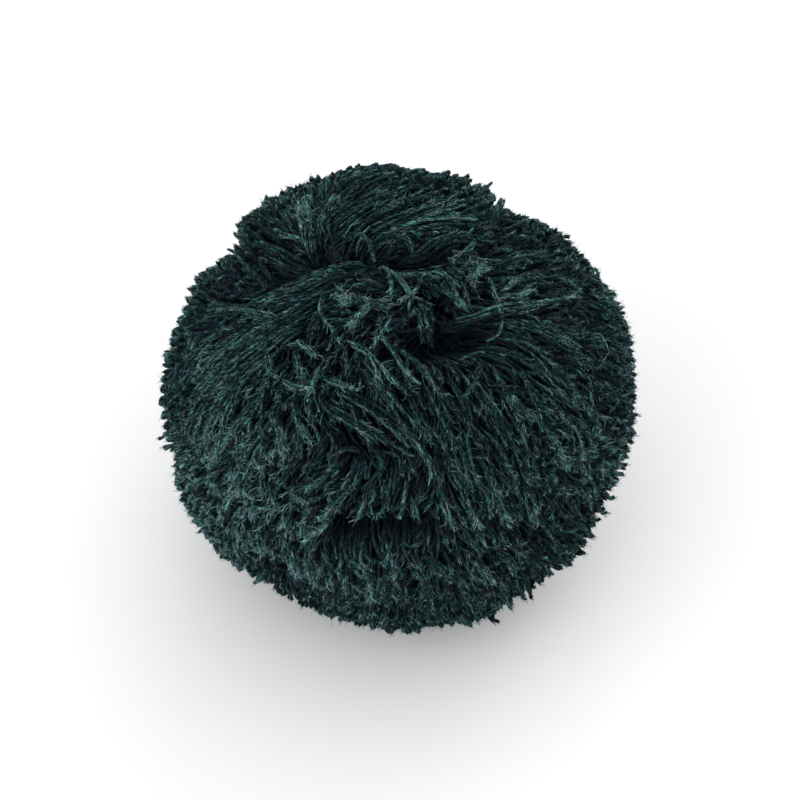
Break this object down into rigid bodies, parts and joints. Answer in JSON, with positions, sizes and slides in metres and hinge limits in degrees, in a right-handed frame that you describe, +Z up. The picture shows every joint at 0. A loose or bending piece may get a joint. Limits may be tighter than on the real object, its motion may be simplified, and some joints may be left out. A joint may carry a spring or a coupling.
{
  "type": "pom pom",
  "caption": "Lone fluffy ball of cut two-ply yarn, wound, tied and trimmed round, resting on a small flat spot.",
  "frame": {"origin": "on the surface that the pom pom rests on, under the middle of its box", "axes": "+Z up; +X to the right in the picture's view, which looks along +Y and down by 50 degrees"},
  "size_m": [0.1092, 0.1086, 0.0971],
  "materials": {
    "yarn": "dull two-ply wool with pale fuzz"
  },
  "bodies": {
    "root": {"pom_pom": "yarn"}
  },
  "joints": []
}
